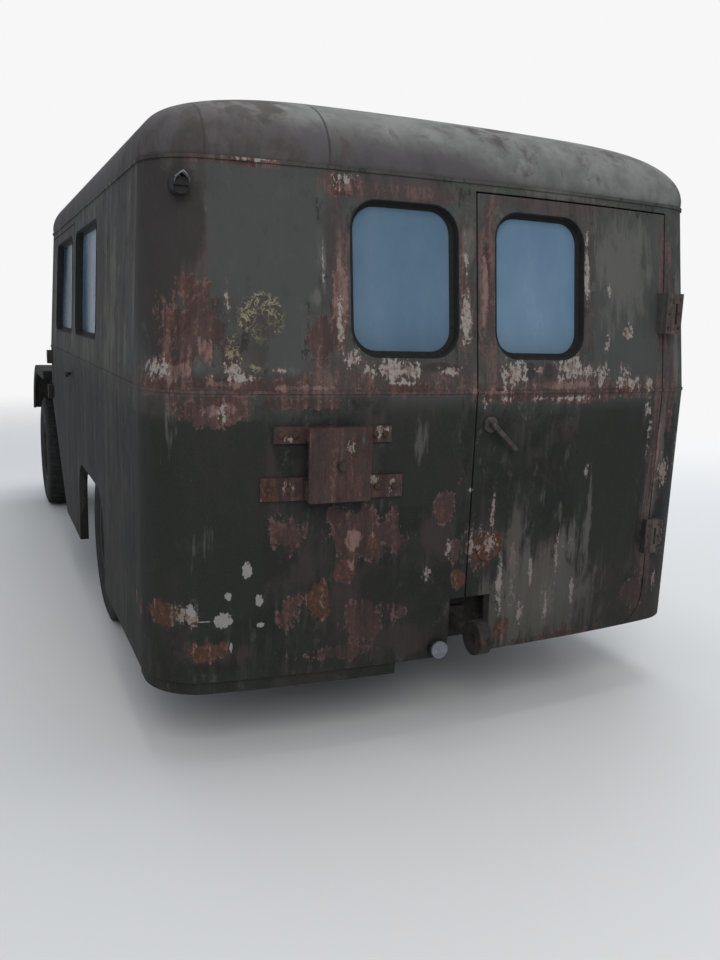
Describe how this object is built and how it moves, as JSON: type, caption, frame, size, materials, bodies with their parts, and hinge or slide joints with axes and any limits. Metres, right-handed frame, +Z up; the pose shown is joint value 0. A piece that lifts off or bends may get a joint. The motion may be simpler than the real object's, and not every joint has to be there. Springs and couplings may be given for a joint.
{
  "type": "military ambulance truck",
  "caption": "Light four-wheel-drive military ambulance truck: closed steel body with a domed roof, one right-hand rear door, cab doors, short bonnet, steered front wheels.",
  "frame": {"origin": "on the ground, below the middle of the overall length and width", "axes": "+X to the vehicle's right, +Y forward to the front bumper, +Z up; the tyres stand on Z = 0"},
  "size_m": [2.18, 4.84, 2.1119],
  "materials": {
    "body_paint": "weathered dull olive-green paint with rust and primer patches",
    "roof_paint": "faded grey-green paint with brown patches",
    "floor_paint": "worn dull paint",
    "chassis_black": "dull black paint, dusty",
    "wheel_paint": "dull olive paint",
    "window_glass": "dusty clear glass",
    "lamp_lens": "dull ribbed lens",
    "bare_steel": "worn bare steel",
    "primer_steel": "red-brown primer and thin green paint",
    "rusty_steel": "rusty dark steel",
    "dark_plastic": "matt black",
    "tyre_rubber": "dusty matt rubber",
    "seat_cover": "worn padded cloth"
  },
  "bodies": {
    "chassis": {"chassis_frame": "chassis_black", "body_floor": "floor_paint", "rear_wall": "body_paint", "side_panel_left": "body_paint", "side_panel_right": "body_paint", "roof": "roof_paint", "cab_front": "body_paint", "radiator_grille": "body_paint", "front_fenders": "body_paint", "front_bumper": "body_paint", "body_glass": "window_glass", "spare_wheel_bracket": "primer_steel", "pintle_hook": "rusty_steel", "headlamps": "body_paint", "rear_lamps": "dark_plastic", "lamp_glass": "lamp_lens", "front_axle": "chassis_black", "rear_axle": "chassis_black", "leaf_springs": "rusty_steel", "seat_cushions": "seat_cover", "seat_backs": "seat_cover", "stretcher_rack": "floor_paint", "engine_and_drive": "rusty_steel", "exhaust": "rusty_steel", "fuel_tank": "chassis_black"},
    "bonnet": {"bonnet": "body_paint"},
    "cab_door_left": {"cab_door_left": "body_paint", "cab_door_glass_left": "window_glass"},
    "cab_door_right": {"cab_door_right": "body_paint", "cab_door_glass_right": "window_glass"},
    "rear_door": {"rear_door": "body_paint", "rear_door_glass": "window_glass", "rear_door_handle": "bare_steel"},
    "knuckle_left": {"knuckle_left": "rusty_steel"},
    "knuckle_right": {"knuckle_right": "rusty_steel"},
    "tie_rod": {"tie_rod": "rusty_steel"},
    "steering_wheel": {"steering_wheel": "dark_plastic"},
    "wheel_front_left": {"wheel_front_left": "wheel_paint", "tyre_front_left": "tyre_rubber"},
    "wheel_front_right": {"wheel_front_right": "wheel_paint", "tyre_front_right": "tyre_rubber"},
    "wheel_rear_left": {"wheel_rear_left": "wheel_paint", "tyre_rear_left": "tyre_rubber"},
    "wheel_rear_right": {"wheel_rear_right": "wheel_paint", "tyre_rear_right": "tyre_rubber"}
  },
  "joints": [
    {"name": "bonnet_hinge", "type": "hinge", "parent": "chassis", "child": "bonnet", "pos_m": [0, 1.265, 1.309], "axis": [1, 0, 0], "range_deg": [0, 45]},
    {"name": "cab_door_left_hinge", "type": "hinge", "parent": "chassis", "child": "cab_door_left", "pos_m": [-1.07, 1.013, 1], "axis": [0, 0, -1], "range_deg": [0, 70]},
    {"name": "cab_door_right_hinge", "type": "hinge", "parent": "chassis", "child": "cab_door_right", "pos_m": [1.07, 1.013, 1], "axis": [0, 0, 1], "range_deg": [0, 70]},
    {"name": "rear_door_hinge", "type": "hinge", "parent": "chassis", "child": "rear_door", "pos_m": [0.835, -2.242, 1], "axis": [0, 0, 1], "range_deg": [0, 100]},
    {"name": "steer_left", "type": "hinge", "parent": "chassis", "child": "knuckle_left", "pos_m": [-0.79, 1.89, 0.395], "axis": [0, 0, 1], "range_deg": [-27, 27]},
    {"name": "steer_right", "type": "hinge", "parent": "chassis", "child": "knuckle_right", "pos_m": [0.79, 1.89, 0.395], "axis": [0, 0, 1], "range_deg": [-27, 27]},
    {"name": "tie_rod_pin", "type": "hinge", "parent": "knuckle_left", "child": "tie_rod", "pos_m": [-0.79, 1.74, 0.29], "axis": [0, 0, 1], "range_deg": [-27, 27]},
    {"name": "steering_wheel_spin", "type": "hinge", "parent": "chassis", "child": "steering_wheel", "pos_m": [-0.43, 0.78065, 1.25173], "axis": [0, -0.6231, 0.7821], "range_deg": [-486, 486]},
    {"name": "wheel_front_left_spin", "type": "hinge", "parent": "knuckle_left", "child": "wheel_front_left", "pos_m": [-0.96, 1.89, 0.395], "axis": [1, 0, 0], "continuous": true},
    {"name": "wheel_front_right_spin", "type": "hinge", "parent": "knuckle_right", "child": "wheel_front_right", "pos_m": [0.96, 1.89, 0.395], "axis": [1, 0, 0], "continuous": true},
    {"name": "wheel_rear_left_spin", "type": "hinge", "parent": "chassis", "child": "wheel_rear_left", "pos_m": [-0.895, -0.76, 0.395], "axis": [1, 0, 0], "continuous": true},
    {"name": "wheel_rear_right_spin", "type": "hinge", "parent": "chassis", "child": "wheel_rear_right", "pos_m": [0.895, -0.76, 0.395], "axis": [1, 0, 0], "continuous": true}
  ],
  "couplings": [
    {"joint": "steer_right", "follows": "steer_left", "ratio": 1},
    {"joint": "tie_rod_pin", "follows": "steer_left", "ratio": -1},
    {"joint": "steering_wheel_spin", "follows": "steer_left", "ratio": 18}
  ]
}
